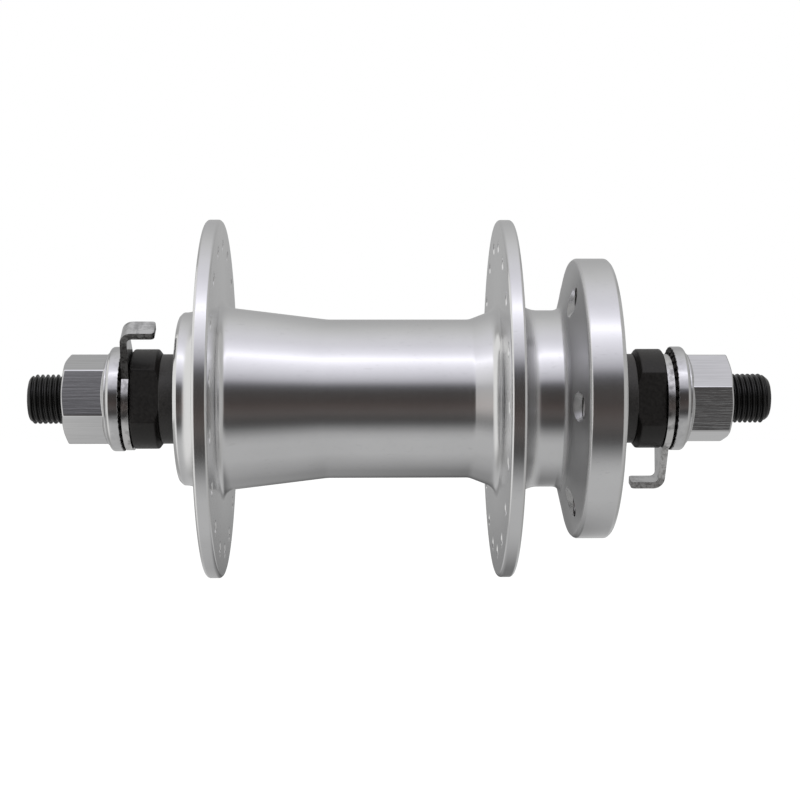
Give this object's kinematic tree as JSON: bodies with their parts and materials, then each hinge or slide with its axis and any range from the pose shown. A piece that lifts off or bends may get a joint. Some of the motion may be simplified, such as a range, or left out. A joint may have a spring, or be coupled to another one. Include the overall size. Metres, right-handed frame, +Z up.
{
  "type": "bicycle disc brake hub",
  "caption": "Front bicycle hub with a solid threaded axle, sealed ball bearings, two drilled spoke flanges, a disc mount, hooked retention washers and axle nuts.",
  "frame": {"origin": "middle of the axle, halfway between the locknut faces", "axes": "+Y along the axle towards the brake disc (the rider's left), +Z up, +X towards the front of the bicycle"},
  "size_m": [0.0676, 0.1402, 0.0676],
  "materials": {
    "shell_aluminium": "turned and polished, clear anodised",
    "black_axle_steel": "black oxide on rolled thread",
    "black_spacer": "black anodised, satin",
    "black_locknut": "black oxide, satin",
    "chrome_nut": "bright nickel chrome",
    "chrome_washer": "bright chrome over a pressed plate",
    "bearing_steel": "ground and honed",
    "ball_steel": "polished",
    "cage_brass": "machined",
    "seal_rubber": "matt black",
    "spacer_aluminium": "drawn tube"
  },
  "bodies": {
    "axle": {"axle": "black_axle_steel", "inner_spacer_tube": "spacer_aluminium", "left_end_spacer": "black_spacer", "left_bearing_inner_ring": "bearing_steel", "left_locknut": "black_locknut", "right_end_spacer": "black_spacer", "right_bearing_inner_ring": "bearing_steel", "right_locknut": "black_locknut"},
    "hub": {"hub_shell": "shell_aluminium", "left_bearing_outer_ring": "bearing_steel", "left_bearing_outer_seal": "seal_rubber", "left_bearing_inner_seal": "seal_rubber", "right_bearing_outer_ring": "bearing_steel", "right_bearing_outer_seal": "seal_rubber", "right_bearing_inner_seal": "seal_rubber"},
    "left_cage": {"left_bearing_cage": "cage_brass", "left_bearing_balls": "ball_steel"},
    "left_nut_washer": {"left_nut_washer": "chrome_nut"},
    "left_axle_nut": {"left_axle_nut": "chrome_nut"},
    "left_tab_washer": {"left_tab_washer": "chrome_washer"},
    "right_cage": {"right_bearing_cage": "cage_brass", "right_bearing_balls": "ball_steel"},
    "right_nut_washer": {"right_nut_washer": "chrome_nut"},
    "right_axle_nut": {"right_axle_nut": "chrome_nut"},
    "right_tab_washer": {"right_tab_washer": "chrome_washer"}
  },
  "joints": [
    {"name": "hub_spin", "type": "hinge", "parent": "axle", "child": "hub", "pos_m": [0, 0, 0], "axis": [0, 1, 0], "continuous": true},
    {"name": "left_cage_turn", "type": "hinge", "parent": "axle", "child": "left_cage", "pos_m": [0, -0.0367, 0], "axis": [0, 1, 0], "continuous": true},
    {"name": "left_nut_travel", "type": "slide", "parent": "axle", "child": "left_nut_washer", "axis": [0, -1, 0], "range_m": [0, 0.00684]},
    {"name": "left_nut_turn", "type": "hinge", "parent": "left_nut_washer", "child": "left_axle_nut", "pos_m": [0, -0.058, 0], "axis": [0, -1, 0], "range_deg": [0, 2521]},
    {"name": "left_tab_turn", "type": "hinge", "parent": "left_nut_washer", "child": "left_tab_washer", "pos_m": [0, -0.0507, 0], "axis": [0, -1, 0], "continuous": true},
    {"name": "right_cage_turn", "type": "hinge", "parent": "axle", "child": "right_cage", "pos_m": [0, 0.0367, 0], "axis": [0, 1, 0], "continuous": true},
    {"name": "right_nut_travel", "type": "slide", "parent": "axle", "child": "right_nut_washer", "axis": [0, 1, 0], "range_m": [0, 0.00684]},
    {"name": "right_nut_turn", "type": "hinge", "parent": "right_nut_washer", "child": "right_axle_nut", "pos_m": [0, 0.058, 0], "axis": [0, 1, 0], "range_deg": [0, 2521]},
    {"name": "right_tab_turn", "type": "hinge", "parent": "right_nut_washer", "child": "right_tab_washer", "pos_m": [0, 0.0507, 0], "axis": [0, 1, 0], "continuous": true}
  ],
  "couplings": [
    {"joint": "left_cage_turn", "follows": "hub_spin", "ratio": 0.61905},
    {"joint": "left_nut_turn", "follows": "left_nut_travel", "rad_per_m": 6431.6},
    {"joint": "right_cage_turn", "follows": "hub_spin", "ratio": 0.61905},
    {"joint": "right_nut_turn", "follows": "right_nut_travel", "rad_per_m": 6431.6}
  ]
}
